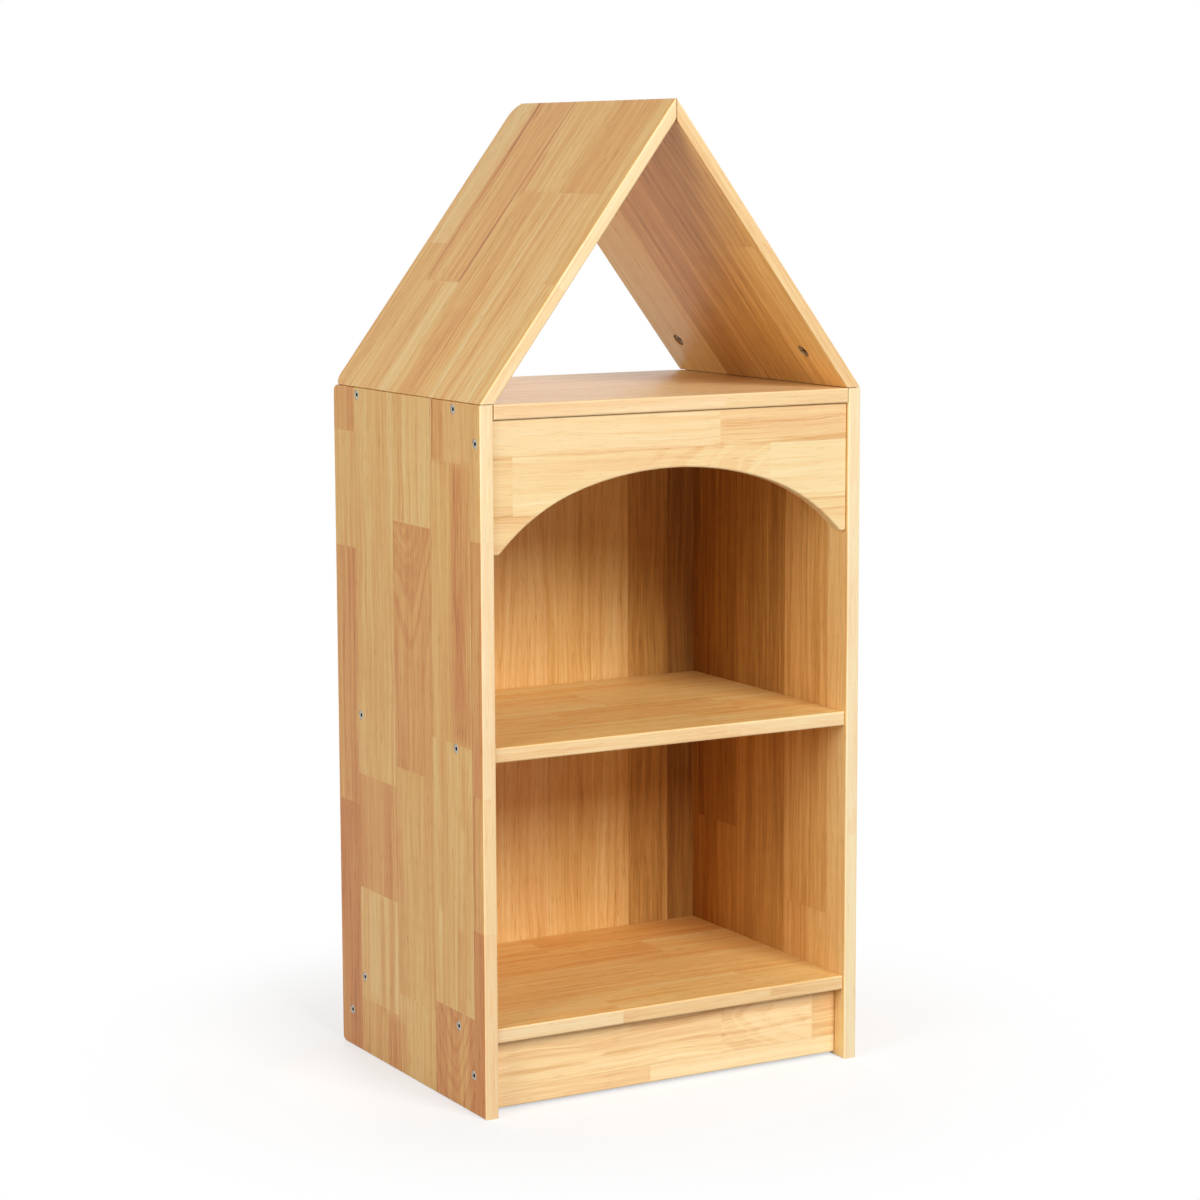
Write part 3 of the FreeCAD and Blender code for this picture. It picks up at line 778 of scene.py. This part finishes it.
def lamp(softbox):
    """A softbox aimed at the middle of the shelf."""
    light = bpy.data.lights.new(softbox.name, "AREA")
    light.size = softbox.width
    light.energy = softbox.power
    holder = bpy.data.objects.new(softbox.name, light)
    holder.location = softbox.place
    holder.rotation_euler = (CAMERA_TARGET - Vector(softbox.place)).to_track_quat("-Z", "Y").to_euler()
    holder.visible_camera = False
    holder.visible_glossy = softbox.mirrored
    bpy.context.scene.collection.objects.link(holder)


def camera():
    lens = bpy.data.cameras.new("camera")
    lens.lens = CAMERA_LENS
    holder = bpy.data.objects.new("camera", lens)
    bpy.context.scene.collection.objects.link(holder)
    turn = Matrix.Rotation(CAMERA_AZIMUTH, 4, "Z") @ Matrix.Rotation(math.pi / 2 - CAMERA_ELEVATION, 4, "X")
    backwards = turn @ Vector((0, 0, CAMERA_DISTANCE))
    roll = Matrix.Rotation(CAMERA_ROLL, 4, "Z")
    holder.matrix_world = Matrix.Translation(CAMERA_TARGET + backwards) @ turn @ roll
    bpy.context.scene.camera = holder


# Side panels
wood(Board("left_side_panel", Z_AXIS, Y_AXIS, X_AXIS), LEFT_SIDE_STAVES, seed=3,
     edge=Edge((0.12, -0.05), (323,)), streaks=LEFT_SIDE_STREAKS)
wood(Board("right_side_panel", Z_AXIS, Y_AXIS, X_AXIS), RIGHT_SIDE_STAVES, seed=17, face=INNER_WOOD,
     edge=Edge((-0.25, -0.4, -0.25), (270, 610)), lines=0.22, outer=(-0.1, 0.75))

# Roof boards, which lean on each other
roof_low, roof_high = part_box("left_roof_board")
left_slope = Vector((-roof_low.x, 0, roof_high.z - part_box("left_side_panel")[1].z)).normalized()
left_normal = Vector((-left_slope.z, 0, left_slope.x))
right_slope = Vector((-left_slope.x, 0, left_slope.z))
right_normal = Vector((left_slope.z, 0, left_slope.x))
wood(Board("left_roof_board", left_slope, Y_AXIS, left_normal), LEFT_ROOF_STAVES, seed=5, edge=Edge((0.1,)),
     streaks=LEFT_ROOF_STREAKS, lines=0.16, mitred=True)
wood(Board("right_roof_board", right_slope, Y_AXIS, right_normal), RIGHT_ROOF_STAVES, seed=23,
     face=INNER_WOOD, edge=Edge((0.45,)), lines=0.10, outer=(-0.1, 0.6), mitred=True)

# Level boards
wood(Board("top_board", X_AXIS, Y_AXIS, Z_AXIS), TOP_STAVES, seed=29, face=APRON_WOOD,
     edge=Edge((0.2, 0.4), (262,)), shine=TOP_SHINE)
wood(Board("middle_shelf", X_AXIS, Y_AXIS, Z_AXIS), MIDDLE_STAVES, seed=31, edge=Edge((0.3, 0.15), (284,)),
     lines=0.4, shine=SHELF_SHINE)
wood(Board("bottom_shelf", X_AXIS, Y_AXIS, Z_AXIS), BOTTOM_STAVES, seed=37, edge=Edge((0.0, 0.35), (144,)),
     shine=SHELF_SHINE)

# Upright boards between the side panels
wood(Board("arch_apron", X_AXIS, Z_AXIS, Y_AXIS), APRON_STAVES, seed=41, face=APRON_WOOD,
     streaks=APRON_STREAKS, pores=FRONT_PORES)
wood(Board("front_plinth", X_AXIS, Z_AXIS, Y_AXIS), PLINTH_STAVES, seed=43, face=EDGE_WOOD,
     streaks=PLINTH_STREAKS, pores=FRONT_PORES)
rear_rail = Board("rear_rail", X_AXIS, Z_AXIS, Y_AXIS)
wood(rear_rail, random_staves(rear_rail, seed=47), seed=47)
wood(Board("back_panel", Z_AXIS, X_AXIS, Y_AXIS), BACK_STAVES, seed=53, face=INNER_WOOD, lines=0.16,
     outer=(0.1, 0.6))

# Hidden wooden joints
for name in ("apron_dowels", "plinth_dowels", "rear_rail_dowels"):
    wood(Board(name, Z_AXIS, X_AXIS, Y_AXIS), DOWEL_STAVES, seed=59)
wood(Board("ridge_spline", Y_AXIS, X_AXIS, Z_AXIS), SPLINE_STAVES, seed=61)

# Metal fittings
for name in frame["nodes"]:
    if name.endswith("_screws") or name.startswith("roof_bolt"):
        zinc(name)
dark_casting("roof_cams", right_normal)

# Studio
world()
floor()
for softbox in SOFTBOXES:
    lamp(softbox)
camera()
bpy.context.scene.view_settings.view_transform = "Standard"
